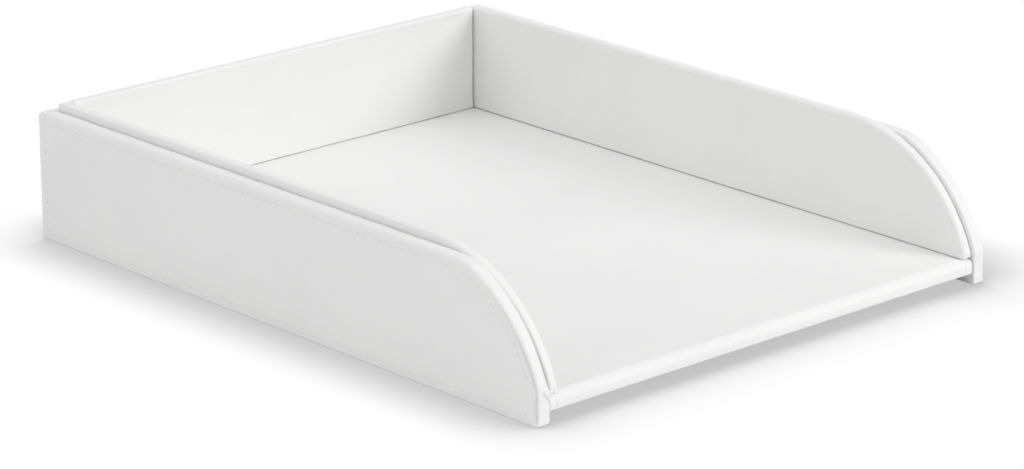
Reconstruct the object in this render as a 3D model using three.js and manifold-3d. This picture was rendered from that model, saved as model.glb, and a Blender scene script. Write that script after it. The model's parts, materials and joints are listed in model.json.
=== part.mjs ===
// Stackable letter tray: three double walls and a floor, each a board wrapped in leatherette.
// Millimetres, +Z up, the open front towards -Y. The origin is on the desk, under the middle.
import * as THREE from 'three';
import { mergeVertices } from 'three/addons/utils/BufferGeometryUtils.js';
import Module from 'manifold-3d';

const wasm = await Module();
wasm.setup();

// Overall size
const trayWidth = 268;
const trayDepth = 330;
const shellHeight = 60;
const lipHeight = 3.4;
const stackingRecess = 5.2;

// Thickness of each wrapped panel, cover to cover
const sideShellThickness = 7;
const rearShellThickness = 4.7;
const sideLinerThickness = 5.6;
const rearLinerThickness = 4.6;
const floorThickness = 7.3;

// Layers of a wrapped panel
const coverThickness = 1;
const backingThickness = 0.8;
const turnInWidth = 12;
const glueLine = 0.3;
const panelClearance = 0.3;
const linerBedding = 0.3;

// Front of the side walls and of the floor. The liner's arc runs out level into its top edge, and
// the outer wall's arc lies round the same centre, so it meets the lower top in a blunt corner.
const linerArcRadius = 74;
const linerSetback = 1.5;
const tabHeight = 15;
const crestRadius = 30;
const floorSetback = 0.5;
const floorNoseRadius = 3.2;

// Rounding
const edgeRadius = 1;
const rearCornerRadius = 4;
const footCornerRadius = 1.8;
const linerCornerRadius = 2;

// Stitched line round the outer walls
const stitchMargin = 4.5;
const stitchTabMargin = 7;
const stitchFootMargin = 3.4;
const stitchGrooveWidth = 0.8;
const stitchGrooveDepth = 0.35;

// Heights, and places that follow from the sizes above
const floorTop = stackingRecess + floorThickness;
const linerBottom = floorTop - linerBedding + panelClearance;
const linerTop = shellHeight + lipHeight;
const frontY = -trayDepth / 2;
const rearY = trayDepth / 2;
const sideX = trayWidth / 2;
const shellInnerX = sideX - sideShellThickness;
const linerOuterX = shellInnerX - panelClearance;
const linerInnerX = linerOuterX - sideLinerThickness;
const rearShellInnerY = rearY - rearShellThickness;
const rearLinerOuterY = rearShellInnerY - panelClearance;
const rearLinerInnerY = rearLinerOuterY - rearLinerThickness;
const arcCentreZ = linerTop - linerArcRadius;
const shellArcRadius = linerArcRadius + linerSetback;

// Fineness of the round stretches
const arcSteps = 28;
const cornerSteps = 4;
const noseSteps = 6;
const edgeSteps = 3;
const cornerOverEdge = 1.15;
const tabCornerShare = 0.8;
const cutOvershoot = 1;

const leatherette = { color: 0xf3f3f1, roughness: 0.5, metalness: 0 };
const hardboard = { color: 0xa98b62, roughness: 0.9, metalness: 0 };
const backingCloth = { color: 0xe4e2dc, roughness: 0.95, metalness: 0 };
const felt = { color: 0xdcdbd7, roughness: 1, metalness: 0 };

// Turns u into depth, v into height and the thickness into width
const acrossTray = new THREE.Matrix4().makeBasis(
  new THREE.Vector3(0, 1, 0),
  new THREE.Vector3(0, 0, 1),
  new THREE.Vector3(1, 0, 0),
);

// Points of an arc round (u, v), both ends included
function arc(u, v, radius, from, to, steps) {
  const points = [];
  for (let i = 0; i <= steps; i += 1) {
    const angle = from + ((to - from) * i) / steps;
    points.push(new THREE.Vector2(u + radius * Math.cos(angle), v + radius * Math.sin(angle)));
  }
  return points;
}

// A rounded corner of a right-angled outline, or its sharp point where no radius is left
function corner(u, v, radius, towardU, towardV, from) {
  if (radius <= 0) return [new THREE.Vector2(u, v)];
  const centreU = u + towardU * radius;
  const centreV = v + towardV * radius;
  return arc(centreU, centreV, radius, from, from + Math.PI / 2, cornerSteps);
}

// Outline of a rectangle with four equal corners, drawn smaller by inset
function plateOutline(plate, inset) {
  const low = plate.low + inset;
  const high = plate.high - inset;
  const bottom = plate.bottom + inset;
  const top = plate.top - inset;
  const radius = plate.corner - inset;
  return [
    ...corner(low, bottom, radius, 1, 1, Math.PI),
    ...corner(high, bottom, radius, -1, 1, 1.5 * Math.PI),
    ...corner(high, top, radius, -1, -1, 0),
    ...corner(low, top, radius, 1, -1, 0.5 * Math.PI),
  ];
}

// Outline of a side wall, u from front to rear and v upwards: an upright tab at the foot of the
// front, one large arc, a rounded crest between the arc and the level top, which shrinks to nothing
// where the arc runs out level, and a rounded rear corner. The arc keeps its centre when the outline
// is drawn smaller.
function sideOutline(wall, inset) {
  const centreV = wall.arcV;
  const centreU = wall.front + Math.sqrt(wall.arcRadius ** 2 - (wall.tabTop - centreV) ** 2);
  const radius = wall.arcRadius - inset;
  const front = wall.front + inset + (wall.tabExtra ?? 0);
  const rear = wall.rear - inset;
  const bottom = wall.bottom + inset + (wall.footExtra ?? 0);
  const top = wall.top - inset;

  const reach = Math.min(centreU - front, radius);
  const tabTop = centreV + Math.sqrt(radius ** 2 - reach ** 2);
  const footAngle = Math.PI - Math.asin((Math.max(tabTop, bottom) - centreV) / radius);
  const tabCorner = Math.min(wall.footCorner - inset, tabCornerShare * (tabTop - bottom));
  const tab = tabTop > bottom ? corner(front, bottom, tabCorner, 1, 1, Math.PI) : [];

  const crestV = top - wall.crest + inset;
  const crestDistance = wall.arcRadius - wall.crest;
  const crestReach = Math.sqrt(Math.max(crestDistance ** 2 - (crestV - centreV) ** 2, 0));
  const crestAngle = Math.PI / 2 + Math.asin(crestReach / crestDistance);
  const crestU = centreU - crestReach;
  const crest = arc(crestU, crestV, wall.crest - inset, Math.PI / 2, crestAngle, cornerSteps);
  return [
    ...tab,
    ...corner(rear, bottom, wall.footCorner - inset, -1, 1, 1.5 * Math.PI),
    ...corner(rear, top, wall.rearCorner - inset, -1, -1, 0),
    ...(crestReach > glueLine ? crest.slice(0, -1) : []),
    ...arc(centreU, centreV, radius, crestAngle, footAngle, arcSteps),
  ];
}

// A flat layer of a panel, from wLow to wHigh through its thickness
function layer(points, wLow, wHigh) {
  const shape = new THREE.Shape(points);
  const geometry = new THREE.ExtrudeGeometry(shape, { depth: wHigh - wLow, bevelEnabled: false });
  geometry.translate(0, 0, wLow);
  return geometry;
}

// The whole thickness of a panel, with its long edges rounded all the way round
function roundedSlab(points, thickness, radius) {
  const shape = new THREE.Shape(points);
  const geometry = new THREE.ExtrudeGeometry(shape, {
    depth: thickness - 2 * radius,
    bevelEnabled: true,
    bevelThickness: radius,
    bevelSize: radius,
    bevelOffset: -radius,
    bevelSegments: edgeSteps,
  });
  geometry.translate(0, 0, radius);
  return geometry;
}

function toSolid(geometry) {
  const bare = geometry.clone();
  bare.deleteAttribute('normal');
  bare.deleteAttribute('uv');
  const merged = mergeVertices(bare, 1e-4);
  const mesh = new wasm.Mesh({
    numProp: 3,
    vertProperties: new Float32Array(merged.attributes.position.array),
    triVerts: new Uint32Array(merged.index.array),
  });
  return new wasm.Manifold(mesh);
}

function toGeometry(solid) {
  const mesh = solid.getMesh();
  const geometry = new THREE.BufferGeometry();
  geometry.setAttribute('position', new THREE.BufferAttribute(mesh.vertProperties, 3));
  geometry.setIndex(new THREE.BufferAttribute(mesh.triVerts, 1));
  geometry.computeVertexNormals();
  return geometry;
}

function piece(name, geometry, finish) {
  const mesh = new THREE.Mesh(geometry, new THREE.MeshStandardMaterial(finish));
  mesh.name = name;
  return mesh;
}

// The groove that the stitches lie in: a narrow ring cut into the face of a cover
function stitchGroove(groove, wLow, wHigh) {
  const ring = toSolid(layer(groove.outline(groove.margin - stitchGrooveWidth / 2), wLow, wHigh));
  const island = layer(
    groove.outline(groove.margin + stitchGrooveWidth / 2),
    wLow - cutOvershoot,
    wHigh + cutOvershoot,
  );
  return ring.subtract(toSolid(island));
}

// A wrapped panel in its own plane: the cover is one skin over the face and round all the edges,
// turned in behind the board, with the backing sheet in the window that the turn-ins leave.
// faceLow says whether the finished face is at w = 0 or at w = thickness, and nose is what a large
// rounding takes off a layer that lies so far inside the cover.
function wrappedPanel(name, { outline, thickness, faceLow, backing, groove, pressed, nose }) {
  const behind = backing ? Math.max(coverThickness, backingThickness) : coverThickness;
  const layers = (low, high) => (faceLow ? [low, high] : [thickness - high, thickness - low]);
  const boardFace = coverThickness + glueLine;
  const boardBack = thickness - behind - glueLine;
  const skin = coverThickness;

  const shaped = (geometry, inset) => {
    const solid = toSolid(geometry);
    return nose ? solid.subtract(toSolid(nose(inset))) : solid;
  };

  const hollow = layer(outline(skin), ...layers(skin, thickness - behind));
  const window = layer(outline(turnInWidth), ...layers(boardBack, thickness + cutOvershoot));
  const rounding = Math.min(edgeRadius, thickness / 2 - glueLine);
  let cover = shaped(roundedSlab(outline(0), thickness, rounding), 0);
  cover = cover.subtract(shaped(hollow, skin)).subtract(toSolid(window));
  if (groove) {
    cover = cover.subtract(stitchGroove(groove, ...layers(-cutOvershoot, stitchGrooveDepth)));
  }
  if (pressed) {
    const dent = layer(pressed.points, ...layers(-cutOvershoot, pressed.depth));
    cover = cover.subtract(toSolid(dent));
  }

  const panel = new THREE.Group();
  panel.add(piece(`${name}_cover`, toGeometry(cover), leatherette));
  const boardInset = skin + glueLine;
  const board = shaped(layer(outline(boardInset), ...layers(boardFace, boardBack)), boardInset);
  panel.add(piece(`${name}_board`, toGeometry(board), hardboard));
  if (backing) {
    const sheet = layers(boardBack + glueLine, boardBack + glueLine + backingThickness);
    const sheetOutline = outline(turnInWidth + glueLine);
    panel.add(piece(`${name}_${backing.name}`, layer(sheetOutline, ...sheet), backing.finish));
  }
  return panel;
}

// Stands a panel up as a side wall: its u runs from front to rear, v upwards and w towards +X
function standAsSide(panel, x) {
  panel.quaternion.setFromRotationMatrix(acrossTray);
  panel.position.set(x, 0, 0);
  return panel;
}

// Stands a panel up as a rear wall: its u runs from left to right, v upwards and w to the front
function standAsRear(panel, y) {
  panel.rotation.x = Math.PI / 2;
  panel.position.set(0, y, 0);
  return panel;
}

const backCloth = { name: 'backing', finish: backingCloth };
const cornerAtLeast = (radius) => Math.max(radius, edgeRadius * cornerOverEdge);

const shellSide = {
  front: frontY,
  rear: rearY,
  bottom: 0,
  top: shellHeight,
  arcRadius: shellArcRadius,
  arcV: arcCentreZ,
  crest: crestRadius,
  tabTop: tabHeight,
  footCorner: cornerAtLeast(footCornerRadius),
  rearCorner: cornerAtLeast(rearCornerRadius),
};

const linerSide = {
  front: frontY + linerSetback,
  rear: rearShellInnerY - panelClearance,
  bottom: linerBottom,
  top: linerTop,
  arcRadius: linerArcRadius,
  arcV: arcCentreZ,
  crest: crestRadius,
  tabTop: tabHeight,
  footCorner: cornerAtLeast(linerCornerRadius),
  rearCorner: cornerAtLeast(linerCornerRadius),
};

const stitchSide = {
  ...shellSide,
  tabExtra: stitchTabMargin - stitchMargin,
  footExtra: stitchFootMargin - stitchMargin,
};

function shellSideWall(name, faceLow) {
  return wrappedPanel(name, {
    outline: (inset) => sideOutline(shellSide, inset),
    thickness: sideShellThickness,
    faceLow,
    backing: backCloth,
    groove: { outline: (inset) => sideOutline(stitchSide, inset), margin: stitchMargin },
  });
}

function linerSideWall(name, faceLow) {
  return wrappedPanel(name, {
    outline: (inset) => sideOutline(linerSide, inset),
    thickness: sideLinerThickness,
    faceLow,
  });
}

function rearShellWall() {
  const plate = {
    low: -shellInnerX + panelClearance,
    high: shellInnerX - panelClearance,
    bottom: 0,
    top: shellHeight,
    corner: cornerAtLeast(footCornerRadius),
  };
  return wrappedPanel('rear_outer', {
    outline: (inset) => plateOutline(plate, inset),
    thickness: rearShellThickness,
    faceLow: true,
    backing: backCloth,
    groove: { outline: (inset) => plateOutline(plate, inset), margin: stitchMargin },
  });
}

function rearLinerWall() {
  const plate = {
    low: -linerInnerX + panelClearance,
    high: linerInnerX - panelClearance,
    bottom: linerBottom,
    top: linerTop,
    corner: cornerAtLeast(linerCornerRadius),
  };
  return wrappedPanel('rear_liner', {
    outline: (inset) => plateOutline(plate, inset),
    thickness: rearLinerThickness,
    faceLow: false,
  });
}

// The strip round three sides of the floor that the feet of the liner press into the soft cover.
// It leaves the bed for the paper standing between the liner walls, and runs past the floor's edges.
function linerFootprint(plate) {
  const bedSide = linerInnerX - panelClearance;
  const bedRear = rearLinerInnerY - panelClearance;
  const front = plate.bottom - cutOvershoot;
  const left = plate.low - cutOvershoot;
  const right = plate.high + cutOvershoot;
  const rear = plate.top + cutOvershoot;
  return [
    new THREE.Vector2(left, front),
    new THREE.Vector2(-bedSide, front),
    new THREE.Vector2(-bedSide, bedRear),
    new THREE.Vector2(bedSide, bedRear),
    new THREE.Vector2(bedSide, front),
    new THREE.Vector2(right, front),
    new THREE.Vector2(right, rear),
    new THREE.Vector2(left, rear),
  ];
}

// What the bullnose takes off the front edge of the floor, from a layer that lies inset inside it
function noseCut(plate, inset) {
  const front = plate.bottom + inset;
  const face = floorThickness - inset;
  const radius = floorNoseRadius - inset;
  const profile = [
    new THREE.Vector2(front - cutOvershoot, face + cutOvershoot),
    new THREE.Vector2(front - cutOvershoot, face - radius),
    ...arc(front + radius, face - radius, radius, Math.PI, Math.PI / 2, noseSteps),
    new THREE.Vector2(front + radius, face + cutOvershoot),
  ];
  const cut = layer(profile, plate.low - cutOvershoot, plate.high + cutOvershoot);
  return cut.applyMatrix4(acrossTray);
}

// The floor lies between the outer walls, and the liner stands on it
function floorPanel() {
  const plate = {
    low: -shellInnerX + panelClearance,
    high: shellInnerX - panelClearance,
    bottom: frontY + floorSetback,
    top: rearShellInnerY - panelClearance,
    corner: cornerAtLeast(footCornerRadius),
  };
  const panel = wrappedPanel('floor', {
    outline: (inset) => plateOutline(plate, inset),
    thickness: floorThickness,
    faceLow: false,
    backing: { name: 'underside_lining', finish: felt },
    pressed: { points: linerFootprint(plate), depth: linerBedding },
    nose: (inset) => noseCut(plate, inset),
  });
  panel.position.z = stackingRecess;
  return panel;
}

const tray = new THREE.Group();
tray.add(standAsSide(shellSideWall('left_outer', true), -sideX));
tray.add(standAsSide(shellSideWall('right_outer', false), shellInnerX));
tray.add(standAsRear(rearShellWall(), rearY));
tray.add(standAsSide(linerSideWall('left_liner', false), -linerOuterX));
tray.add(standAsSide(linerSideWall('right_liner', true), linerInnerX));
tray.add(standAsRear(rearLinerWall(), rearLinerOuterY));
tray.add(floorPanel());

export default tray;
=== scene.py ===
import json
import math

import bmesh
import bpy
import numpy as np
from mathutils import Matrix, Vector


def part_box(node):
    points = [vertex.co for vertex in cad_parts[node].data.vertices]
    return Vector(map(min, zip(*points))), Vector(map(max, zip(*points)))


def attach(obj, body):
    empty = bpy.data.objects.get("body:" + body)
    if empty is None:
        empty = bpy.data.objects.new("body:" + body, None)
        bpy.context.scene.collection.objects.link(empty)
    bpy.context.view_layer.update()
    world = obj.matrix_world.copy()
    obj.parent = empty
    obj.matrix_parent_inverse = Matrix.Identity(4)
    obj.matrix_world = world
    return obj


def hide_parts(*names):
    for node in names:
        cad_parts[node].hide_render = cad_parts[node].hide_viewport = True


# A stackable letter tray of boards wrapped in white leatherette, in metres, +Z up.
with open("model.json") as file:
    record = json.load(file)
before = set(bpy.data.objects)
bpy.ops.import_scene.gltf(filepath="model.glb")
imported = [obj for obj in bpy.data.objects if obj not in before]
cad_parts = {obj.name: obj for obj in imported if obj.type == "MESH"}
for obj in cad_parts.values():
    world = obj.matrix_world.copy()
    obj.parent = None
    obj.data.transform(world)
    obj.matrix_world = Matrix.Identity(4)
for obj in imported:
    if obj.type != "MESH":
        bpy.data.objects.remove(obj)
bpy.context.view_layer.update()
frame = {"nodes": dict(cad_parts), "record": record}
mm = 0.001
tiny = 1e-9  # keeps a length that is divided by above zero
print("frame loaded:", len(frame["nodes"]), "nodes")

# Camera, worked out from the straight edges of the tray in the picture
camera = {
    "place": (-1.19552, -1.30786, 0.59575),
    "yaw": 42.517,  # degrees from +Y towards +X
    "pitch": -18.241,
    "focalPixels": 4186.34,
    "imageWidth": 1024,
    "sensorWidth": 36.0,
    "clip": (0.05, 60.0),
}


def makeCamera():
    yaw, pitch = math.radians(camera["yaw"]), math.radians(camera["pitch"])
    ahead = np.array([math.sin(yaw) * math.cos(pitch), math.cos(yaw) * math.cos(pitch), math.sin(pitch)])
    right = np.array([math.cos(yaw), -math.sin(yaw), 0.0])
    up = np.cross(right, ahead)
    turn = np.eye(4)
    turn[:3, 0], turn[:3, 1], turn[:3, 2], turn[:3, 3] = right, up, -ahead, camera["place"]
    data = bpy.data.cameras.new("camera")
    data.sensor_width = camera["sensorWidth"]
    data.lens = camera["focalPixels"] / camera["imageWidth"] * camera["sensorWidth"]
    data.clip_start, data.clip_end = camera["clip"]
    eye = bpy.data.objects.new("camera", data)
    eye.matrix_world = Matrix(turn.tolist())
    bpy.context.scene.collection.objects.link(eye)
    bpy.context.scene.camera = eye


# Light: a white room with brighter sides, and one soft lamp at the front right. A side is given as
# degrees from the front towards the right, degrees up, and its strength.
light = {
    "room": 0.31,
    "sides": [(0, 90, 0.91), (0, 50, 0.43), (-120, 30, 0.98)],
    "sidePower": 6.0,
    "shownWhite": 1.0,  # the background as the camera sees it
    "keyFrom": (3.70, -6.16, 3.51),
    "keySize": 4.0,
    "keyWatts": 236.0,
    "aim": (0.0, 0.0, 0.02),
}


def makeLamp(name, place, size, watts):
    data = bpy.data.lights.new(name, "AREA")
    data.shape = "DISK"
    data.size = size
    data.energy = watts
    lamp = bpy.data.objects.new(name, data)
    back = np.array(place) - np.array(light["aim"])
    back = back / np.linalg.norm(back)
    side = np.cross((0.0, 0.0, 1.0), back)
    side = side / np.linalg.norm(side)
    turn = np.eye(4)
    turn[:3, 0], turn[:3, 1], turn[:3, 2], turn[:3, 3] = side, np.cross(back, side), back, place
    lamp.matrix_world = Matrix(turn.tolist())
    bpy.context.scene.collection.objects.link(lamp)


def makeWorld():
    world = bpy.data.worlds.new("white room")
    world.use_nodes = True
    bpy.context.scene.world = world
    nodes, links = world.node_tree.nodes, world.node_tree.links
    nodes.clear()
    seen = addSeen(nodes, links)
    # The room's light is even, plus a power of the cosine to each brighter side
    direction = nodes.new("ShaderNodeTexCoord").outputs["Generated"]
    strength = light["room"]
    for around, height, amount in light["sides"]:
        flat = math.cos(math.radians(height))
        turn = math.radians(around)
        cosine = nodes.new("ShaderNodeVectorMath")
        cosine.operation = "DOT_PRODUCT"
        side = (flat * math.sin(turn), -flat * math.cos(turn), math.sin(math.radians(height)))
        cosine.inputs[1].default_value = side
        links.new(direction, cosine.inputs[0])
        facing = addMath(nodes, links, "MAXIMUM", cosine.outputs["Value"])
        lobe = addMath(nodes, links, "POWER", facing, light["sidePower"])
        strength = addMath(nodes, links, "ADD", addMath(nodes, links, "MULTIPLY", lobe, amount), strength)
    room = nodes.new("ShaderNodeBackground")
    links.new(strength, room.inputs["Strength"])
    white = nodes.new("ShaderNodeBackground")
    white.inputs["Color"].default_value = (1, 1, 1, 1)
    white.inputs["Strength"].default_value = light["shownWhite"]
    room.inputs["Color"].default_value = (1, 1, 1, 1)
    mix = nodes.new("ShaderNodeMixShader")
    links.new(seen, mix.inputs[0])
    links.new(room.outputs[0], mix.inputs[1])
    links.new(white.outputs[0], mix.inputs[2])
    out = nodes.new("ShaderNodeOutputWorld")
    links.new(mix.outputs[0], out.inputs["Surface"])


# Small helpers for node trees
def addMath(nodes, links, operation, first, second=0.0):
    node = nodes.new("ShaderNodeMath")
    node.operation = operation
    for slot, value in enumerate((first, second)):
        if isinstance(value, (int, float)):
            node.inputs[slot].default_value = value
        else:
            links.new(value, node.inputs[slot])
    return node.outputs[0]


def addSeen(nodes, links):
    # 1 where the camera looks, straight or in a reflection, and 0 for the light that falls on things
    path = nodes.new("ShaderNodeLightPath")
    seen = addMath(nodes, links, "MAXIMUM", path.outputs["Is Camera Ray"], path.outputs["Is Glossy Ray"])
    return addMath(nodes, links, "MAXIMUM", seen, path.outputs["Is Transmission Ray"])


def startMaterial(name):
    material = bpy.data.materials.new(name)
    material.use_nodes = True
    nodes, links = material.node_tree.nodes, material.node_tree.links
    nodes.clear()
    shader = nodes.new("ShaderNodeBsdfPrincipled")
    out = nodes.new("ShaderNodeOutputMaterial")
    links.new(shader.outputs[0], out.inputs["Surface"])
    place = nodes.new("ShaderNodeTexCoord").outputs["Object"]
    return material, nodes, links, shader, place


def addNoise(nodes, links, place, scale, detail, rough):
    node = nodes.new("ShaderNodeTexNoise")
    node.inputs["Scale"].default_value = scale
    node.inputs["Detail"].default_value = detail
    node.inputs["Roughness"].default_value = rough
    links.new(place, node.inputs["Vector"])
    return node.outputs[0]


def addRamp(nodes, links, value, low, high, fromColour, toColour):
    node = nodes.new("ShaderNodeValToRGB")
    node.color_ramp.elements[0].position = low
    node.color_ramp.elements[1].position = high
    node.color_ramp.elements[0].color = (*fromColour, 1)
    node.color_ramp.elements[1].color = (*toColour, 1)
    links.new(value, node.inputs[0])
    return node.outputs[0]


def addMap(nodes, links, value, *ends):
    # The ends are the lowest and highest value that come in, and what they become
    node = nodes.new("ShaderNodeMapRange")
    for name, number in zip(("From Min", "From Max", "To Min", "To Max"), ends):
        node.inputs[name].default_value = number
    links.new(value, node.inputs["Value"])
    return node.outputs[0]


def addBlend(nodes, links, share, first, second):
    # Mixes two colours by a share; the second may be a plain colour
    node = nodes.new("ShaderNodeMix")
    node.data_type = "RGBA"
    links.new(share, node.inputs["Factor"])
    links.new(first, node.inputs["A"])
    node.inputs["B"].default_value = (*second, 1)
    return node.outputs["Result"]


def addBump(nodes, links, height, distance, strength, before=None):
    node = nodes.new("ShaderNodeBump")
    node.inputs["Distance"].default_value = distance
    node.inputs["Strength"].default_value = strength
    links.new(height, node.inputs["Height"])
    if before is not None:
        links.new(before, node.inputs["Normal"])
    return node.outputs["Normal"]


def addAttribute(nodes, name):
    node = nodes.new("ShaderNodeAttribute")
    node.attribute_name = name
    return node.outputs["Fac"]


# What most of a noise lies between
noiseRange = (0.3, 0.7)


def finishSurface(nodes, links, shader, values, colour, height, noise):
    # Colour, bumps of a depth and a strength, and a roughness that follows a noise
    links.new(colour, shader.inputs["Base Color"])
    links.new(addBump(nodes, links, height, *values["bump"]), shader.inputs["Normal"])
    links.new(addMap(nodes, links, noise, *noiseRange, *values["roughness"]), shader.inputs["Roughness"])


# White leatherette: a satin skin with a fine pebbled grain, cloudy by a shade, with painted shade blended
# in by an attribute: in creases, needle holes, the tab's seam, along the foot and behind the curved front
leatherette = {
    "colour": (0.92, 0.92, 0.915),
    "cloud": (0.90, 0.90, 0.896),
    "crease": (0.60, 0.60, 0.595),
    "cloudsPerMetre": 14.0,
    "cloudDetail": (3.0, 0.55),  # the levels of a noise and how rough each is
    "cloudRange": (0.35, 0.65),
    "pebblesPerMetre": 900.0,
    "pebbleSmoothness": 0.6,
    "pebbleRange": (0.1, 0.75),
    "poresPerMetre": 2600.0,
    "poreDetail": (2.0, 0.6),
    "grainDepth": 0.035 * mm,
    "grainStrength": 0.30,
    "poreStrength": 0.12,
    "wearPerMetre": 42.0,
    "wearDetail": (4.0, 0.6),
    "roughness": (0.46, 0.58),
    "specular": 0.28,
}


def makeLeatherette():
    material, nodes, links, shader, place = startMaterial("white leatherette")
    values = leatherette
    clouds = addNoise(nodes, links, place, values["cloudsPerMetre"], *values["cloudDetail"])
    colour = addRamp(nodes, links, clouds, *values["cloudRange"], values["cloud"], values["colour"])
    # A darker colour blended in by this attribute is painted shade in creases, holes, the seam, the foot
    # and the joints
    crease = addAttribute(nodes, "crease")
    links.new(addBlend(nodes, links, crease, colour, values["crease"]), shader.inputs["Base Color"])

    pebbles = nodes.new("ShaderNodeTexVoronoi")
    pebbles.feature = "SMOOTH_F1"
    pebbles.inputs["Scale"].default_value = values["pebblesPerMetre"]
    pebbles.inputs["Smoothness"].default_value = values["pebbleSmoothness"]
    links.new(place, pebbles.inputs["Vector"])
    domes = addMap(nodes, links, pebbles.outputs["Distance"], *values["pebbleRange"], 1.0, 0.0)
    pores = addNoise(nodes, links, place, values["poresPerMetre"], *values["poreDetail"])
    normal = addBump(nodes, links, domes, values["grainDepth"], values["grainStrength"])
    normal = addBump(nodes, links, pores, values["grainDepth"], values["poreStrength"], normal)
    links.new(normal, shader.inputs["Normal"])

    wear = addNoise(nodes, links, place, values["wearPerMetre"], *values["wearDetail"])
    links.new(addMap(nodes, links, wear, *noiseRange, *values["roughness"]), shader.inputs["Roughness"])
    shader.inputs["Specular IOR Level"].default_value = values["specular"]
    return material


# White polyester thread, two strands twisted
thread = {
    "colour": (0.93, 0.93, 0.925),
    "shade": (0.84, 0.84, 0.835),
    "shadeRange": (0.1, 0.7),
    "turns": 5.0,
    "bump": (0.05 * mm, 0.7),
    "fuzzPerMetre": 2500.0,
    "fuzzDetail": (2.0, 0.6),
    "roughness": (0.55, 0.75),
    "sheen": 0.15,
}


def makeThread():
    material, nodes, links, shader, place = startMaterial("white thread")
    twist = addMath(nodes, links, "MULTIPLY", addAttribute(nodes, "twist"), 2 * math.pi)
    wave = addMath(nodes, links, "SINE", twist)
    strand = addMap(nodes, links, wave, -1.0, 1.0, 0.0, 1.0)
    # The darker colour between the twisted strands is painted shade in their grooves
    colour = addRamp(nodes, links, strand, *thread["shadeRange"], thread["shade"], thread["colour"])
    fuzz = addNoise(nodes, links, place, thread["fuzzPerMetre"], *thread["fuzzDetail"])
    finishSurface(nodes, links, shader, thread, colour, strand, fuzz)
    shader.inputs["Sheen Weight"].default_value = thread["sheen"]
    return material


# Brown hardboard with pressed fibres
hardboard = {
    "light": (0.47, 0.33, 0.18),
    "dark": (0.34, 0.22, 0.11),
    "fibresPerMetre": 350.0,
    "fibreDetail": (6.0, 0.65),
    "shadeRange": (0.35, 0.65),
    "bump": (0.05 * mm, 0.6),
    "roughness": (0.8, 0.92),
}


def makeHardboard():
    material, nodes, links, shader, place = startMaterial("hardboard")
    values = hardboard
    fibres = addNoise(nodes, links, place, values["fibresPerMetre"], *values["fibreDetail"])
    colour = addRamp(nodes, links, fibres, *values["shadeRange"], values["dark"], values["light"])
    finishSurface(nodes, links, shader, values, colour, fibres, fibres)
    return material


# Off-white backing cloth in plain weave, with painted shade in the gaps between its threads
backingCloth = {
    "thread": (0.76, 0.74, 0.69),
    "gap": (0.58, 0.56, 0.51),
    "shadeRange": (0.25, 0.7),
    "threadsPerMetre": 1600.0,
    "bump": (0.12 * mm, 0.5),
    "slubsPerMetre": 300.0,
    "slubDetail": (3.0, 0.6),
    "roughness": (0.85, 0.97),
}


def makeBackingCloth():
    material, nodes, links, shader, place = startMaterial("backing cloth")
    values = backingCloth
    split = nodes.new("ShaderNodeSeparateXYZ")
    links.new(place, split.inputs[0])
    # The wall may stand along X or along Y, so both run as warp, and Z is the weft
    along = addMath(nodes, links, "ADD", split.outputs["X"], split.outputs["Y"])
    turns = math.pi * values["threadsPerMetre"]
    warp = addMath(nodes, links, "SINE", addMath(nodes, links, "MULTIPLY", along, turns))
    weft = addMath(nodes, links, "SINE", addMath(nodes, links, "MULTIPLY", split.outputs["Z"], turns))
    weave = addMap(nodes, links, addMath(nodes, links, "MULTIPLY", warp, weft), -1.0, 1.0, 0.0, 1.0)
    # Painted shade in the gaps between the threads
    colour = addRamp(nodes, links, weave, *values["shadeRange"], values["gap"], values["thread"])
    slub = addNoise(nodes, links, place, values["slubsPerMetre"], *values["slubDetail"])
    finishSurface(nodes, links, shader, values, colour, weave, slub)
    return material


# Pale grey felt under the floor
felt = {
    "light": (0.73, 0.72, 0.70),
    "dark": (0.62, 0.61, 0.59),
    "shadeRange": (0.6, 1.0),
    "fibresPerMetre": 900.0,
    "fibreDetail": (5.0, 0.7),
    "fibreShare": 0.6,
    "tuftsPerMetre": 120.0,
    "tuftDetail": (3.0, 0.6),
    "bump": (0.25 * mm, 0.5),
    "roughness": (0.9, 1.0),
    "sheen": 0.3,
}


def makeFelt():
    material, nodes, links, shader, place = startMaterial("grey felt")
    fibres = addNoise(nodes, links, place, felt["fibresPerMetre"], *felt["fibreDetail"])
    tufts = addNoise(nodes, links, place, felt["tuftsPerMetre"], *felt["tuftDetail"])
    fine = addMath(nodes, links, "MULTIPLY", fibres, felt["fibreShare"])
    both = addMath(nodes, links, "ADD", fine, tufts)
    colour = addRamp(nodes, links, both, *felt["shadeRange"], felt["dark"], felt["light"])
    finishSurface(nodes, links, shader, felt, colour, both, fibres)
    shader.inputs["Sheen Weight"].default_value = felt["sheen"]
    return material


# Outlines. A ring runs once round a panel in its own plane, u to the right and v upwards, as four
# corners and four sides, and each corner or side has the same points in every ring of a panel.
def cornerPoints(u, v, towardU, towardV, radius, start, count):
    # A quarter circle set into the corner (u, v), without its end; a zero radius leaves the corner
    angle = start + 0.5 * math.pi * np.arange(count) / count
    middle = np.array([u + towardU * radius, v + towardV * radius])
    return middle + radius * np.column_stack([np.cos(angle), np.sin(angle)])


def linePoints(start, end, count, crowd=0.0):
    # Steps from start to end, without the end: even ones, less a sine that crowds them to the ends
    share = np.arange(count)[:, None] / count
    share = share - crowd * np.sin(2 * math.pi * share) / (2 * math.pi)
    return np.array(start) * (1 - share) + np.array(end) * share


def arcPoints(u, v, radius, start, turn, count):
    # Even steps along an arc round (u, v), without its end
    angle = start + turn * np.arange(count) / max(count, 1)
    return np.array([u, v]) + radius * np.column_stack([np.cos(angle), np.sin(angle)])


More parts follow.
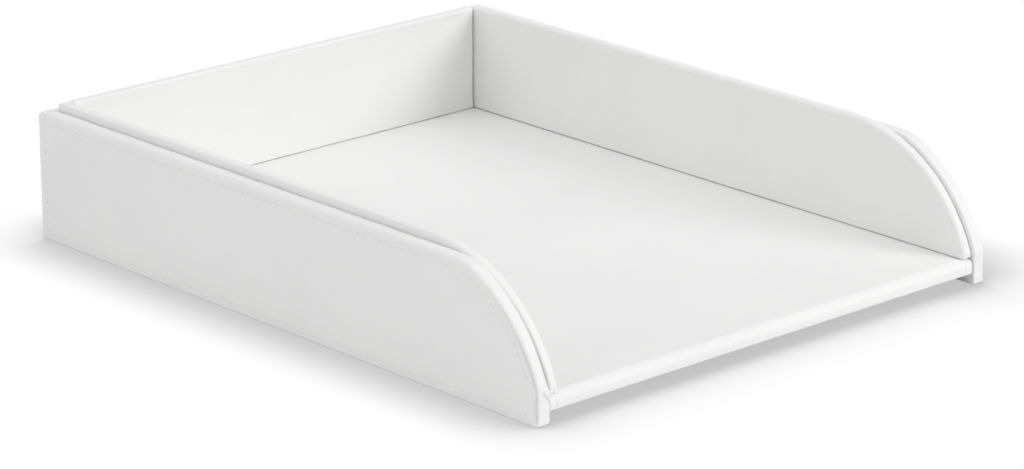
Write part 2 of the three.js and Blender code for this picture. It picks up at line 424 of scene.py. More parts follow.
def frontCurve(wall, edge):
    # The large arc's centre and radius, and the rounded crest between it and the level top, which
    # shrinks to nothing where the arc runs out level
    arcV = wall["arcCentre"]
    arcU = wall["front"] + math.sqrt(wall["arcRadius"] ** 2 - (wall["tabTop"] - arcV) ** 2)
    crestV = wall["top"] - wall["crest"]
    distance = wall["arcRadius"] - wall["crest"]
    reach = math.sqrt(max(distance ** 2 - (crestV - arcV) ** 2, 0.0))
    return (arcU, arcV, wall["arcRadius"] - edge), (arcU - reach, crestV, math.asin(reach / distance))


def sideRing(wall, inset):
    # A side wall: level foot, upright rear, level top, a rounded crest, one large arc, and an
    # upright tab at the foot of the arc. The arc keeps its centre when the ring is drawn smaller.
    edge, front, foot = inset
    bottom, rear, top = wall["bottom"] + foot, wall["rear"] - edge, wall["top"] - edge
    (arcU, arcV, radius), (crestU, crestV, crestTurn) = frontCurve(wall, edge)
    reach = min(arcU - wall["front"] - front, radius)
    tabTop = max(arcV + math.sqrt(radius ** 2 - reach ** 2), bottom)
    tabU = arcU - math.sqrt(radius ** 2 - (tabTop - arcV) ** 2)
    footCorner = max(min(wall["footCorner"] - edge, tabTop - bottom), 0.0)
    rearFoot = max(wall["footCorner"] - edge, 0.0)
    rearCorner = max(wall["rearCorner"] - edge, 0.0)
    c, n, m = wall["cornerPoints"], wall["longPoints"], wall["shortPoints"]
    onArc, onCrest = wall["onArc"], wall["onCrest"]
    arcTurn = 0.5 * math.pi - math.asin((tabTop - arcV) / radius) - crestTurn
    start = 0.5 * math.pi
    return np.vstack([
        cornerPoints(tabU, bottom, 1, 1, footCorner, math.pi, c),
        linePoints((tabU + footCorner, bottom), (rear - rearFoot, bottom), n),
        cornerPoints(rear, bottom, -1, 1, rearFoot, 1.5 * math.pi, c),
        linePoints((rear, bottom + rearFoot), (rear, top - rearCorner), m),
        cornerPoints(rear, top, -1, -1, rearCorner, 0.0, c),
        linePoints((rear - rearCorner, top), (crestU, top), n - onArc - onCrest),
        arcPoints(crestU, crestV, max(wall["crest"] - edge, 0.0), start, crestTurn, onCrest),
        arcPoints(arcU, arcV, radius, start + crestTurn, arcTurn, onArc),
        linePoints((tabU, tabTop), (tabU, bottom + footCorner), m),
    ])


def plateRing(plate, inset):
    # A rectangle with four equal corners. The points of its sides may crowd towards the ends.
    edge = inset[0]
    crowd = plate.get("crowd", 0.0)
    low, high = plate["low"] + edge, plate["high"] - edge
    bottom, top = plate["bottom"] + edge, plate["top"] - edge
    r = max(plate["footCorner"] - edge, 0.0)
    c, n, m = plate["cornerPoints"], plate["longPoints"], plate["shortPoints"]
    return np.vstack([
        cornerPoints(low, bottom, 1, 1, r, math.pi, c),
        linePoints((low + r, bottom), (high - r, bottom), n, crowd),
        cornerPoints(high, bottom, -1, 1, r, 1.5 * math.pi, c),
        linePoints((high, bottom + r), (high, top - r), m, crowd),
        cornerPoints(high, top, -1, -1, r, 0.0, c),
        linePoints((high - r, top), (low + r, top), n, crowd),
        cornerPoints(low, top, 1, -1, r, 0.5 * math.pi, c),
        linePoints((low, top - r), (low, bottom + r), m, crowd),
    ])


def sideStarts(panel):
    # Where in a ring each of the four sides starts, and how many points it has
    c, n, m = panel["cornerPoints"], panel["longPoints"], panel["shortPoints"]
    last = 0 if "arcRadius" in panel else c
    return [(c, n), (2 * c + n, m), (3 * c + n + m, n), (3 * c + 2 * n + m + last, m)]


def bandFaces(first, firstCount, second, secondCount):
    # Faces between two rings; where one has half the points, three triangles bridge each step
    if firstCount == secondCount:
        here = np.arange(firstCount)
        after = (here + 1) % firstCount
        return np.column_stack([first + here, first + after, second + after, second + here]).tolist()
    fine, coarse = (first, second) if firstCount > secondCount else (second, first)
    count = min(firstCount, secondCount)
    k = np.arange(count)
    a, b, c = fine + 2 * k, fine + 2 * k + 1, fine + (2 * k + 2) % (2 * count)
    d, e = coarse + k, coarse + (k + 1) % count
    return np.vstack([np.column_stack(t) for t in ((a, b, d), (b, e, d), (b, c, e))]).tolist()


def fieldPatch(panel, ring, density):
    # A Coons patch: the sum of the two surfaces ruled between opposite sides of the ring, less the
    # bilinear surface through its four corners
    rows = []
    for start, count in sideStarts(panel):
        index = np.arange(start, start + count + 1, density) // density
        rows.append(ring[index % len(ring)])
    foot, right, top, left = rows[0], rows[1], rows[2][::-1], rows[3][::-1]
    a = np.linspace(0, 1, len(foot))[:, None, None]
    b = np.linspace(0, 1, len(right))[None, :, None]
    ruled = (1 - b) * foot[:, None] + b * top[:, None] + (1 - a) * left[None] + a * right[None]
    corners = (1 - a) * (1 - b) * foot[0] + a * (1 - b) * foot[-1] + (1 - a) * b * top[0] + a * b * top[-1]
    return ruled - corners


def gridFaces(start, rows, columns):
    a = (np.arange(rows - 1)[:, None] * columns + np.arange(columns - 1)[None]).ravel() + start
    return np.column_stack([a, a + columns, a + columns + 1, a + 1]).tolist()


# The wrap that all panels share: how the skin goes over the edge and is turned in behind
wrap = {
    "skin": 1.0 * mm,
    "innerFrom": 0.9 * mm,  # points deeper than this are on the inner side of a skin
    "turnIn": 12.0 * mm,
    "setBack": 0.05 * mm,  # the face lies this far inside the CAD solid
    "crown": 0.12 * mm,
    "wobble": 0.12 * mm,
    "wobbleFrom": 3.0 * mm,  # a side wall's edge gets uneven over this height above its foot
    "fieldSoft": 0.05 * mm,
    # Painted shade darkens the fold and the gap between wall and liner low on the curved front, fading out
    # upwards
    "creaseTop": 56.0 * mm,  # the height where the dark joint of the curved front has faded out
    "creaseFade": 30.0 * mm,
    "creaseFoot": 1.5 * mm,
    # Painted shade along the foot of the stitched walls, for the contact shade where they stand
    "footDark": 0.5,
    "footHeight": 0.4 * mm,
    "roundSteps": 7,
    "bandSteps": 10,
    "merge": 0.002 * mm,
    "sharpAngle": 42,
}


def station(inset, depth, density, kind, offset=None, arc=None):
    # One ring of a panel: how far inside the outline it runs, how deep below the finished face,
    # which of the ring's points it takes, its distance from the stitches, its place on the edge
    if not isinstance(inset, tuple):
        inset = (inset, inset, inset)
    return {
        "inset": inset, "depth": depth, "density": density,
        "kind": kind, "offset": offset, "arc": arc,
    }


def overTheEdge(panel, faceDepth, density):
    # From the finished face round the front edge, across the band and round the back edge. Each
    # rounding is a quarter circle, whose radius edgePlace takes from the place along the ring.
    steps = wrap["roundSteps"]
    angles = 0.5 * math.pi * np.arange(steps + 1) / steps
    shares = np.arange(1, wrap["bandSteps"]) / wrap["bandSteps"]
    places = [("front", a) for a in angles]
    places += [("band", share) for share in shares]
    places += [("back", a) for a in angles[::-1]]
    return [station(wrap["setBack"], faceDepth, density, "edge", arc=place) for place in places]


def roundings(panel, count):
    # The radii of the front and the back rounding at each point of a ring, eased from one side of
    # the panel to the next by a running mean
    radii = np.full((count, 2), panel["rounds"][0])
    sides = sideStarts(panel)
    for (start, _), pair in zip(sides, panel["rounds"]):
        radii[start:] = pair
    if "arcRadius" in panel:
        # Along the curved front they change evenly from its crest to its lower end
        start, end = sum(sides[2]) - panel["onArc"] - panel["onCrest"], sides[3][0]
        share = np.linspace(0, 1, end - start)[:, None]
        crest, low = np.array(panel["arcRounds"])
        radii[start:end] = crest * (1 - share) + low * share
    reach = panel["easing"]
    padded = np.vstack([radii[-reach:], radii, radii[:reach]])
    kernel = np.ones(2 * reach + 1) / (2 * reach + 1)
    eased = np.column_stack([np.convolve(padded[:, k], kernel, "valid") for k in (0, 1)])
    return eased * mm


def edgePlace(panel, ringOf, s, radii):
    # The ring and depths of one station of the edge. Between the unrounded ring and the one of the
    # largest radius, each point is moved by the share of its own radius.
    part, value = s["arc"]
    flat, largest = wrap["setBack"], panel["edgeRadius"]
    plain = ringOf(panel, (flat,) * 3)[::s["density"]]
    front, back = radii[::s["density"]].T
    inner, outer = s["depth"] + front, panel["thickness"] - back
    if part == "band":
        return plain, inner + (outer - inner) * value
    inset = flat + largest * (1 - math.sin(value))
    full = ringOf(panel, (inset,) * 3)[::s["density"]]
    radius = front if part == "front" else back
    ring = plain + (full - plain) * (radius / largest)[:, None]
    fall = radius * math.cos(value)
    return ring, inner - fall if part == "front" else outer + fall


def behindTheBoard(panel, density):
    # The turned-in border on the back, its cut edge, and the inner side of the skin round the board
    thick, skin, turnIn = panel["thickness"], wrap["skin"], wrap["turnIn"]
    return [
        station(0.5 * turnIn, thick, density, "back"),
        station(turnIn, thick, density, "back"),
        station(turnIn, thick - skin, density, "back"),
        station(skin, thick - skin, density, "back"),
        station(skin, skin + wrap["setBack"], density, "back"),
        station(turnIn, skin + wrap["setBack"], density, "back"),
    ]


def plainStations(panel):
    density = panel["density"]
    face = wrap["setBack"]
    inside = [station(x * mm, face, density, "face") for x in panel["faceRings"]]
    return inside + overTheEdge(panel, face, density) + behindTheBoard(panel, density)


# The stitched border of the outer walls
border = {
    "margin": 4.5 * mm,
    "tabMargin": 7.0 * mm,
    "footMargin": 3.4 * mm,
    # The rings beside the line of stitches: millimetres inwards, and one of how many points
    "rings": ((4.2, 4), (2.3, 2), (1.4, 1), (0.95, 1), (0.65, 1), (0.4, 1), (0.2, 1), (0.0, 1),
              (-0.2, 1), (-0.4, 1), (-0.65, 1), (-0.95, 1), (-1.4, 2), (-1.9, 2)),
    "pitch": 4.7 * mm,
    "valleyDepth": 0.10 * mm,
    "valleyWidth": 0.70 * mm,
    "holeDepth": 0.40 * mm,
    # Painted shade in the needle holes
    "holeDark": 0.35,
    "holeAcross": 0.30 * mm,
    "holeAlong": 0.42 * mm,
    "pull": (0.75, 0.25),  # the even share of the valley, and the share that varies along a stitch
    "puff": 0.06 * mm,
    "fallAway": 0.10 * mm,
    # Painted shade along the fold line beside the front band
    "foldDark": 0.55,  # the fold line beside the front band, by the number of the edge's ring
    "foldRings": {2: 0.5, 3: 1.0, 4: 0.5},
    "seamHeight": 17.0 * mm,  # the slanting seam on the tab, seen on the edge: height plus depth
    "seamFrom": 3.0 * mm,
    "seamWidth": 0.80 * mm,
    "seamDepth": 0.30 * mm,
    # Painted shade in the slanting seam on the tab
    "seamDark": 0.55,
}


def borderInset(panel, offset):
    # Inset of the ring that lies offset inside the line of stitches, or the same share of the way
    # to the rounded edge where offset is negative
    start = wrap["setBack"] + panel["edgeRadius"]
    margins = (border["margin"], border["tabMargin"], border["footMargin"])
    if offset >= 0:
        return tuple(margin + offset for margin in margins)
    share = 1 + offset / (border["margin"] - start)
    return tuple(start + (margin - start) * share for margin in margins)


def stitchedStations(panel):
    face = wrap["setBack"]
    start = border["margin"] - wrap["setBack"] - panel["edgeRadius"]
    found = []
    for x, density in border["rings"]:
        offset = x * mm
        depth = face
        if offset < 0:  # a puffed border that falls away to the edge
            share = -offset / start
            depth += border["fallAway"] * share ** 2 - border["puff"] * math.sin(math.pi * share)
        found.append(station(borderInset(panel, offset), depth, density, "stitch", offset))
    found += overTheEdge(panel, face + border["fallAway"], 2)
    return found + behindTheBoard(panel, 4)


def stitchPhase(panel, ring):
    # How many stitches lie between the ring's start and each of its points. Each of the four sides
    # holds a whole number of them, so there is a needle hole at each corner.
    phase = np.zeros(len(ring))
    total = 0
    starts = sideStarts(panel)
    for side, (start, count) in enumerate(starts):
        end = starts[side + 1][0] if side < 3 else len(ring)
        index = np.arange(start, start + count + 1) % len(ring)
        run = np.concatenate([[0.0], np.cumsum(np.linalg.norm(np.diff(ring[index], axis=0), axis=1))])
        number = max(round(run[-1] / border["pitch"]), 1)
        phase[start:start + count] = total + number * run[:-1] / run[-1]
        total += number
        phase[start + count:end] = total
    return phase, total


# Unevenness as a sum of sines, each with its height, its radians per metre and where it starts
faceWaves = ((1.0, 61, 17, 0.4), (0.7, 23, -83, 1.9), (0.5, 131, 47, 0.0))
edgeWaves = ((1.0, 190, 0.6), (0.7, 433, 2.1), (0.5, 911, 0.0), (0.4, 1530, 1.0))


def softness(u, v):
    # Long waves across each other on a face, between -1 and 1
    total = sum(height * np.sin(a * u + b * v + start) for height, a, b, start in faceWaves)
    return total / sum(wave[0] for wave in faceWaves)


def frontShare(panel, ring):
    # 1 low on the curved front of a side wall, fading to 0 towards its top, and 0 on other edges
    if "arcRadius" not in panel:
        return np.zeros(len(ring))
    share = np.clip((wrap["creaseTop"] - ring[:, 1]) / wrap["creaseFade"], 0, 1)
    curved = ring[:, 0] < panel["front"] + panel["arcRadius"]
    return share * curved * (ring[:, 1] > panel["bottom"] + wrap["creaseFoot"])


def wander(distance):
    # Unevenness of a hand-wrapped edge along its length, between -1 and 1
    total = sum(height * np.sin(a * distance + start) for height, a, start in edgeWaves)
    return total / sum(wave[0] for wave in edgeWaves)


def ringNormals(ring):
    # Outward normals of a ring that runs anticlockwise
    ahead = np.roll(ring, -1, axis=0) - np.roll(ring, 1, axis=0)
    normal = np.column_stack([ahead[:, 1], -ahead[:, 0]])
    return normal / np.maximum(np.linalg.norm(normal, axis=1), tiny)[:, None]


def shapeEdge(panel, s, ring, depth, distance, stitched):
    # How far each point of an edge's ring stands out, and how much painted shade it gets: the band is
    # crowned and a little uneven, the foot and the joint behind a curved front get painted shade, and a
    # tab has its seam, with painted shade in it
    front = frontShare(panel, ring)
    height = ring[:, 1] - panel["bottom"]
    across = (depth / panel["thickness"] - 0.5) * 2
    low = np.clip(height / wrap["wobbleFrom"], 0, 1) if "arcRadius" in panel else 1.0
    out = wrap["wobble"] * wander(distance + 3.0 * depth) * low - wrap["crown"] * across ** 2
    # Painted shade in a thin band along the foot of the stitched walls
    crease = wrap["footDark"] * (height < wrap["footHeight"]) * stitched
    # Painted shade on the back rounding, in the gap between the wall and the liner beside it
    if s["arc"][0] == "back":
        crease = crease + panel.get("backCrease", 0.0) * math.cos(s["arc"][1]) * front
    if stitched:
        away = np.abs(ring[:, 1] + depth - border["seamHeight"]) / math.sqrt(2)
        seam = np.exp(-(away / border["seamWidth"]) ** 2)
        seam *= (front > 0) & (depth > border["seamFrom"])
        seam *= panel.get("seamShare", 0.0)
        out -= border["seamDepth"] * seam
        # Painted shade in the seam's crease
        crease = crease + border["seamDark"] * seam
    return out, crease


def shapeStitches(s, phase):
    # How deep each point of a ring near the stitches is pulled in, and how much painted shade its needle
    # holes get
    even, byStitch = border["pull"]
    along = (phase + 0.5) % 1 - 0.5
    valley = math.exp(-(s["offset"] / border["valleyWidth"]) ** 2)
    hole = np.exp(-(along * border["pitch"] / border["holeAlong"]) ** 2)
    hole *= math.exp(-(s["offset"] / border["holeAcross"]) ** 2)
    pull = even + byStitch * np.cos(2 * math.pi * along)
    return border["valleyDepth"] * valley * pull + border["holeDepth"] * hole, border["holeDark"] * hole


def skinRings(panel, ringOf, stations):
    # The points and the painted shade of each station's ring, from the face round the edge to the back
    outer = ringOf(panel, (wrap["setBack"],) * 3)
    normals = ringNormals(outer)
    distance = np.concatenate([[0.0], np.cumsum(np.linalg.norm(np.diff(outer, axis=0), axis=1))])
    radii = roundings(panel, len(outer))
    kinds = [s["kind"] for s in stations]
    stitched = "stitch" in kinds
    if stitched:
        phase = stitchPhase(panel, ringOf(panel, borderInset(panel, 0.0)))[0]
    for number, s in enumerate(stations):
        step = s["density"]
        if s["kind"] == "edge":
            ring, depth = edgePlace(panel, ringOf, s, radii)
        else:
            ring = ringOf(panel, s["inset"])[::step].copy()
            depth = np.full(len(ring), s["depth"])
        crease = np.zeros(len(ring))
        front = frontShare(panel, ring)
        if s["kind"] == "edge":
            out, crease = shapeEdge(panel, s, ring, depth, distance[::step], stitched)
            ring = ring + normals[::step] * out[:, None]
        if s["kind"] == "stitch":
            pulled, crease = shapeStitches(s, phase[::step])
            depth += pulled
        if stitched:
            # Painted shade along the fold line beside the curved front's band
            fold = border["foldRings"].get(number - kinds.index("edge"), 0.0)
            crease = crease + border["foldDark"] * fold * front
        if s["kind"] in ("face", "stitch"):
            depth += wrap["fieldSoft"] * (1 + softness(ring[:, 0], ring[:, 1]))
        yield np.column_stack([ring, depth]), crease


def wrappedSkin(name, panel, ringOf, stations, details=None):
    # The whole skin: its rings are joined in order, and a patch fills the face and the inner side
    rings = list(skinRings(panel, ringOf, stations))
    points, paintedShades, faces = [ring for ring, _ in rings], [crease for _, crease in rings], []
    starts = np.cumsum([0] + [len(ring) for ring in points]).tolist()
    count = starts[-1]
    for a, b, first, second in zip(starts, starts[1:], points, points[1:]):
        faces += bandFaces(a, len(first), b, len(second))
    for s, ring in ((stations[0], points[0]), (stations[-1], points[-1])):
        patch = fieldPatch(panel, ring, s["density"])
        if s is stations[0]:
            patch[..., 2] = s["depth"] + wrap["fieldSoft"] * (1 + softness(patch[..., 0], patch[..., 1]))
        rows, columns = patch.shape[:2]
        faces += gridFaces(count, rows, columns)
        points.append(patch.reshape(-1, 3))
        paintedShades.append(np.zeros(rows * columns))
        count += rows * columns
    points, crease = np.vstack(points), np.concatenate(paintedShades)
    if details:
        details(panel, points)
    return finishMesh(name, panel, points, faces, {"crease": np.clip(crease, 0, 1)})


def intoPlace(panel, points):
    # From the panel's own u, v and depth into the frame
    origin, u, v, depth = panel["place"]
    return np.array(origin) + points @ np.array([u, v, depth], float)


def finishMesh(name, panel, points, faces, attributes):
    # Puts the arrays into a mesh, merges points that coincide, and turns the faces outwards
    mesh = bpy.data.meshes.new(name)
    mesh.from_pydata(intoPlace(panel, points).tolist(), [], faces)
    for key, values in attributes.items():
        mesh.attributes.new(key, "FLOAT", "POINT").data.foreach_set("value", values.astype(np.float32))
    work = bmesh.new()
    work.from_mesh(mesh)
    bmesh.ops.remove_doubles(work, verts=work.verts, dist=wrap["merge"])
    bmesh.ops.dissolve_degenerate(work, edges=work.edges, dist=0.5 * wrap["merge"])
    bmesh.ops.recalc_face_normals(work, faces=work.faces)
    for face in work.faces:
        face.smooth = True
    work.to_mesh(mesh)
    work.free()
    mesh.set_sharp_from_angle(angle=math.radians(wrap["sharpAngle"]))
    made = bpy.data.objects.new(name, mesh)
    bpy.context.scene.collection.objects.link(made)
    return made


def dress(piece, material, slot, *nodes):
    piece.data.materials.clear()
    piece.data.materials.append(material)
    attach(piece, "root")
    if nodes:
        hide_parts(*nodes)
    return piece


# Outer side walls. A panel's rounds are the radii in millimetres of the front and the back rounding
# along its foot, its rear or right end, its top and its front or left end. Those of the arc are at
# its crest and its lower end. What differs between two walls is under the name of its side.
outerSide = {
    "arcRadius": 75.5 * mm,
    "arcCentre": -10.6 * mm,
    "crest": 30 * mm,
    "tabTop": 15 * mm,
    "edgeRadius": 2.4 * mm,
    "rounds": ((0.4, 0.6), (0.4, 0.6), (2.3, 0.6), (1.8, 0.3)),
    "easing": 6,
    # The back value of each side is painted shade on the curved front's back rounding, in the gap between
    # wall and liner
    "left": {"arcRounds": ((2.2, 0.8), (2.4, 2.0)), "backCrease": 0.5, "seamShare": 1.0},
    "right": {"arcRounds": ((2.2, 0.4), (2.4, 0.9)), "backCrease": 0.0, "seamShare": 0.35},
    "footCorner": 1.2 * mm,
    "rearCorner": 2.5 * mm,
    "cornerPoints": 8,
    "longPoints": 624,
    "shortPoints": 112,
}

# Liner side walls
linerSide = {
    "arcRadius": 74 * mm,
    "arcCentre": -10.6 * mm,
    "crest": 30 * mm,
    "tabTop": 15 * mm,
    "edgeRadius": 2.0 * mm,
    "rounds": ((0.3, 0.6), (0.8, 0.8), (1.8, 0.8), (1.8, 1.6)),
    "arcRounds": ((2.0, 1.6), (2.0, 1.8)),
    "easing": 3,
    # The back value of each side is painted shade on the curved front's back rounding, in the gap between
    # liner and wall
    "left": {"backCrease": 0.9},
    "right": {"backCrease": 0.25},
    "footCorner": 1.2 * mm,
    "rearCorner": 1.6 * mm,
    "cornerPoints": 8,
    "longPoints": 224,
    "shortPoints": 32,
    "faceRings": (8.0, 5.0, 3.2, 2.2),
    "density": 1,
}

# Rear walls and the floor
rearOuter = {
    "edgeRadius": 2.3 * mm,
    "rounds": ((0.4, 0.6), (0.4, 0.6), (2.3, 0.6), (0.4, 0.6)),
    "easing": 6,
    "footCorner": 1.8 * mm,
    "cornerPoints": 8,
    "longPoints": 464,
    "shortPoints": 104,
}
rearLiner = {
    "edgeRadius": 1.6 * mm,
    "rounds": ((0.3, 0.6), (1.6, 0.6), (1.2, 0.8), (1.6, 0.6)),
    "easing": 2,
    "footCorner": 1.3 * mm,
    "cornerPoints": 8,
    "longPoints": 128,
    "shortPoints": 28,
    "faceRings": (8.0, 5.0, 3.2, 2.2),
    "density": 1,
}
floorPlate = {
    "edgeRadius": 1.0 * mm,
    "rounds": ((1.0, 1.0),) * 4,
    "easing": 1,
    "footCorner": 1.0 * mm,
    "noseRadius": 4.5 * mm,
    "ridgeIn": 4.3 * mm,  # the wrinkles near both ends of the front edge
    "ridgeWidth": 0.45 * mm,
    "ridgeHeight": 0.30 * mm,
    "ridgeReach": 0.6,  # how far behind the edge they are seen, as a share of the nose's radius
    "ridgeFoot": 1.0 * mm,
    "cornerPoints": 8,
    "longPoints": 168,
    "shortPoints": 104,
    "crowd": 0.8,
    "dip": 0.12 * mm,  # how deep the feet of the liner press into the soft cover
    "dipSlope": 3.0 * mm,
    "rearPress": 0.4,  # how much of that the rear wall does
    "faceDepth": 0.6 * mm,  # points less deep than this are on the face
    "faceRings": (12.0, 9.0, 7.8, 7.0, 6.4, 5.8, 5.3, 4.8, 4.3, 3.9, 3.4, 2.9, 2.4, 2.0, 1.6, 1.3),
    "density": 1,
}


def sidePanel(values, node, side, faceX, inward):
    low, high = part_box(node)
    panel = {
        **values, **values[side],
        "front": low.y, "rear": high.y, "bottom": low.z, "top": high.z,
        "thickness": high.x - low.x,
        "place": ((faceX, 0, 0), (0, 1, 0), (0, 0, 1), (inward, 0, 0)),
    }
    # The points of the long upper side are shared out by length between top, crest and arc
    (arcU, arcV, radius), (crestU, crestV, crestTurn) = frontCurve(panel, 0.0)
    arcLength = radius * (0.5 * math.pi - math.asin((values["tabTop"] - arcV) / radius) - crestTurn)
    crestLength = values["crest"] * crestTurn
    perPoint = (high.y - crestU + arcLength + crestLength) / values["longPoints"]
    panel["onArc"] = 4 * round(arcLength / perPoint / 4)
    panel["onCrest"] = 4 * round(crestLength / perPoint / 4)
    return panel


def rearPanel(values, node, faceIsRear):
    low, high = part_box(node)
    faceY, inward = (high.y, -1) if faceIsRear else (low.y, 1)
    return {
        **values,
        "low": low.x, "high": high.x, "bottom": low.z, "top": high.z,
        "thickness": high.y - low.y,
        "place": ((0, faceY, 0), (1, 0, 0), (0, 0, 1), (0, inward, 0)),
    }


def floorPanel(values, node):
    low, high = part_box(node)
    return {
        **values,
        "linerX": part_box("right_liner_cover")[0].x, "linerY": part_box("rear_liner_cover")[0].y,
        "low": low.x, "high": high.x, "bottom": low.y, "top": high.y,
        "thickness": high.z - low.z,
        "place": ((0, 0, high.z), (1, 0, 0), (0, 1, 0), (0, 0, -1)),
    }


# The stitches themselves
stitch = {
    "radius": 0.20 * mm,
    "fill": 0.84,
    "lift": 0.20 * mm,
    "dive": 0.55 * mm,
    "divePower": 6,
    "taper": 0.25,
    "taperPower": 4,
    "slant": 0.08,
    "steps": 7,
    "sides": 6,
}


def stitchRow(name, panel, ringOf):
    # Each stitch is a short tube along the line of stitches: level in the middle, it dives into a
    # needle hole at both ends with a high power of the way from its middle, and tapers there
    ring = ringOf(panel, borderInset(panel, 0.0))
    phase, total = stitchPhase(panel, ring)
    u = np.concatenate([ring[:, 0], ring[:1, 0]])
    v = np.concatenate([ring[:, 1], ring[:1, 1]])
    phase = np.concatenate([phase, [total]])
    way = np.linspace(-1, 1, stitch["steps"])
    at = np.arange(total)[:, None] + 0.5 + 0.5 * stitch["fill"] * way[None]
    centre = np.stack([np.interp(at, phase, u), np.interp(at, phase, v)], axis=-1)
    ahead = centre[:, -1] - centre[:, 0]
    ahead = ahead / np.linalg.norm(ahead, axis=1)[:, None]
    beside = np.stack([-ahead[:, 1], ahead[:, 0]], axis=-1)
    centre += beside[:, None] * (stitch["slant"] * way * 0.5 * border["pitch"])[None, :, None]
    depth = wrap["setBack"] + stitch["lift"] + stitch["dive"] * way ** stitch["divePower"]
    angle = 2 * math.pi * np.arange(stitch["sides"]) / stitch["sides"]
    radius = stitch["radius"] * (1 - stitch["taper"] * way ** stitch["taperPower"])
    out = radius[:, None] * np.cos(angle)[None]
    flat = centre[:, :, None] + beside[:, None, None] * out[None, :, :, None]
    deep = depth[:, None] + radius[:, None] * np.sin(angle)[None]
    points = np.concatenate([flat, np.broadcast_to(deep[None, :, :, None], (*flat.shape[:3], 1))], axis=-1)
    steps, sides = stitch["steps"], stitch["sides"]
    here = np.arange(sides)
    after = (here + 1) % sides
    near = np.arange(steps - 1)[:, None] * sides
    far = near + sides
    quads = np.stack([near + here, near + after, far + after, far + here], axis=-1).reshape(-1, 4)
    starts = np.arange(total) * steps * sides
    faces = (starts[:, None, None] + quads[None]).reshape(-1, 4).tolist()
    faces += (starts[:, None] + here[::-1]).tolist()
    faces += (starts[:, None] + (steps - 1) * sides + here).tolist()
    twist = thread["turns"] * 0.5 * way[:, None] + angle[None] / math.pi
    twist = np.broadcast_to(twist[None], (total, steps, sides)).ravel()
    return finishMesh(name, panel, points.reshape(-1, 3), faces, {"twist": twist})


liner = {
    "shift": 0.25 * mm,  # the liner stands this much to the right
    "footDrop": 1.2 * mm,  # how far the left wall's front foot follows the floor's rounded edge
    "footReach": 3.0 * mm,
    "footHeight": 2.0 * mm,
}


def linerFoot(panel, points):
    # The front of the left wall's foot sinks with the floor's rounded edge, as a parabola
    ahead = np.clip((panel["front"] + liner["footReach"] - points[:, 0]) / liner["footReach"], 0, 1)
    near = np.clip(1 - (points[:, 1] - panel["bottom"]) / liner["footHeight"], 0, 1)
    points[:, 1] -= liner["footDrop"] * ahead ** 2 * near


def makeWalls(skinMaterial, threadMaterial):
    for side, inward in (("left", 1), ("right", -1)):
        node = side + "_outer_cover"
        low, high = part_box(node)
        panel = sidePanel(outerSide, node, side, low.x if inward > 0 else high.x, inward)
        skin = wrappedSkin(side + "_outer_skin", panel, sideRing, stitchedStations(panel))
        dress(skin, skinMaterial, "white_leatherette", node)
        dress(stitchRow(side + "_outer_stitches", panel, sideRing), threadMaterial, "white_leatherette")

        node = side + "_liner_cover"
        low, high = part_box(node)
        faceX = (high.x if inward > 0 else low.x) + liner["shift"]
        panel = sidePanel(linerSide, node, side, faceX, -inward)
        details = linerFoot if side == "left" else None
        skin = wrappedSkin(side + "_liner_skin", panel, sideRing, plainStations(panel), details)
        dress(skin, skinMaterial, "white_leatherette", node)
        print(side, "walls made")

    panel = rearPanel(rearOuter, "rear_outer_cover", True)
    skin = wrappedSkin("rear_outer_skin", panel, plateRing, stitchedStations(panel))
    dress(skin, skinMaterial, "white_leatherette", "rear_outer_cover")
    dress(stitchRow("rear_outer_stitches", panel, plateRing), threadMaterial, "white_leatherette")
    panel = rearPanel(rearLiner, "rear_liner_cover", False)
    panel["low"], panel["high"] = panel["low"] + liner["shift"], panel["high"] + liner["shift"]
    skin = wrappedSkin("rear_liner_skin", panel, plateRing, plainStations(panel))
    dress(skin, skinMaterial, "white_leatherette", "rear_liner_cover")
    print("rear walls made")


def floorShape(panel, points):
    # The face dips in a smooth step along the liner's walls, which press into it
    slope = panel["dipSlope"]
    beside = (np.abs(points[:, 0]) - panel["linerX"] + slope) / slope
    behind = (points[:, 1] - panel["linerY"] + slope) / slope
    share = np.maximum(np.clip(beside, 0, 1), panel["rearPress"] * np.clip(behind, 0, 1))
    share *= np.clip((points[:, 1] - panel["bottom"]) / panel["noseRadius"], 0, 1)
    onFace = points[:, 2] < panel["faceDepth"]
    points[:, 2] += panel["dip"] * share ** 2 * (3 - 2 * share) * onFace

    # Near the front top edge, points outside a circle of the nose's radius are drawn in to it, and
    # those of the skin's inner side to a circle one skin smaller
    radius = panel["noseRadius"]
    ahead = radius - (points[:, 1] - panel["bottom"])
    above = radius - points[:, 2]
    away = np.hypot(ahead, above)
    inner = np.minimum(radius - ahead, radius - above) > wrap["innerFrom"]
    limit = np.where(inner, radius - wrap["skin"], radius)
    near = (ahead > 0) & (above > 0) & (away > limit)
    shrink = np.where(near, limit / np.maximum(away, tiny), 1.0)
    points[:, 1] = np.where(near, panel["bottom"] + radius - ahead * shrink, points[:, 1])
    points[:, 2] = np.where(near, radius - above * shrink, points[:, 2])
    # An upright wrinkle near each end of the front face, a Gaussian across
    fromEnd = panel["high"] - np.abs(points[:, 0]) - panel["ridgeIn"]
    ridge = np.exp(-(fromEnd / panel["ridgeWidth"]) ** 2)
    ridge *= points[:, 1] < panel["bottom"] + panel["ridgeReach"] * radius
    ridge *= points[:, 2] < panel["thickness"] - panel["ridgeFoot"]
    points[:, 1] -= panel["ridgeHeight"] * ridge


def makeFloor(skinMaterial):
    panel = floorPanel(floorPlate, "floor_cover")
    skin = wrappedSkin("floor_skin", panel, plateRing, plainStations(panel), floorShape)
    dress(skin, skinMaterial, "white_leatherette", "floor_cover")
    print("floor made")


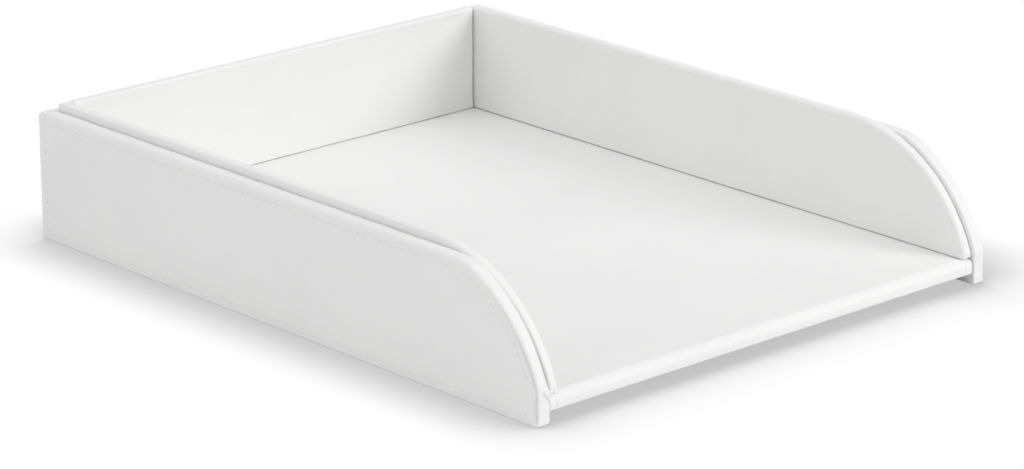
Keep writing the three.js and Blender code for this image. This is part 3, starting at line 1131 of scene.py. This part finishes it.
def dressNodes(materials):
    # The boards, backing sheets and lining keep their CAD meshes and get a finish
    for part in frame["record"]["subparts"]:
        node = frame["nodes"][part["node"]]
        node.data.materials.clear()
        node.data.materials.append(materials[part["material_slot"]])


# The ground: white where it is lit, with a painted shadow of the tray on it, from an ambient-occlusion
# node
ground = {
    "halfSize": 12.0,
    "drop": 0.05 * mm,
    "colour": (0.93, 0.93, 0.93),
    "shownColour": (0.06, 0.06, 0.06),  # how much of the lamps' light the camera sees on it
    # The camera's white is darkened near the tray into a painted shadow, deeper and wider to the right
    "glow": 0.95,  # the plain white added for the camera, which the tray's nearness darkens
    "shadowReach": 36 * mm,
    "shadowReachRight": 54 * mm,
    "rightFrom": 0.10,  # the reach and the depth grow between these two places along X
    "rightTo": 0.15,
    "depthRight": 1.7,
    "darkest": 0.55,
    "darkestBlend": 0.3,
    "shadowSamples": 16,
}


def makeGround():
    half = ground["halfSize"]
    corners = [(-half, -half), (half, -half), (half, half), (-half, half)]
    mesh = bpy.data.meshes.new("ground")
    mesh.from_pydata([(x, y, -ground["drop"]) for x, y in corners], [], [(0, 1, 2, 3)])
    plane = bpy.data.objects.new("ground", mesh)
    bpy.context.scene.collection.objects.link(plane)
    material = bpy.data.materials.new("white ground")
    material.use_nodes = True
    nodes, links = material.node_tree.nodes, material.node_tree.links
    nodes.clear()
    seen = addSeen(nodes, links)
    diffuse = nodes.new("ShaderNodeBsdfDiffuse")
    colour = addRamp(nodes, links, seen, 0.0, 1.0, ground["colour"], ground["shownColour"])
    links.new(colour, diffuse.inputs["Color"])
    # Painted shadow: ambient occlusion, raised to a power and kept above the darkest value, darkens the
    # white the camera sees
    near = nodes.new("ShaderNodeAmbientOcclusion")
    near.samples = ground["shadowSamples"]
    split = nodes.new("ShaderNodeSeparateXYZ")
    links.new(nodes.new("ShaderNodeTexCoord").outputs["Object"], split.inputs[0])
    reach = (ground["shadowReach"], ground["shadowReachRight"])
    reach = addMap(nodes, links, split.outputs["X"], ground["rightFrom"], ground["rightTo"], *reach)
    links.new(reach, near.inputs["Distance"])
    depth = addMap(nodes, links, split.outputs["X"], ground["rightFrom"], ground["rightTo"],
                   1.0, ground["depthRight"])
    openness = addMath(nodes, links, "POWER", near.outputs["AO"], depth)
    openness = addMath(nodes, links, "SMOOTH_MAX", openness, ground["darkest"])
    openness.node.inputs[2].default_value = ground["darkestBlend"]
    shade = addMath(nodes, links, "MULTIPLY", openness, ground["glow"])
    glow = nodes.new("ShaderNodeEmission")
    links.new(addMath(nodes, links, "MULTIPLY", seen, shade), glow.inputs["Strength"])
    both = nodes.new("ShaderNodeAddShader")
    links.new(diffuse.outputs[0], both.inputs[0])
    links.new(glow.outputs[0], both.inputs[1])
    out = nodes.new("ShaderNodeOutputMaterial")
    links.new(both.outputs[0], out.inputs["Surface"])
    plane.data.materials.append(material)


makeCamera()
makeWorld()
makeLamp("key lamp", light["keyFrom"], light["keySize"], light["keyWatts"])
makeGround()
bpy.context.scene.view_settings.view_transform = "Standard"
print("camera, light and ground ready")

skinMaterial = makeLeatherette()
makeWalls(skinMaterial, makeThread())
makeFloor(skinMaterial)
dressNodes({
    "white_leatherette": skinMaterial,
    "hardboard": makeHardboard(),
    "backing_cloth": makeBackingCloth(),
    "underside_felt": makeFelt(),
})
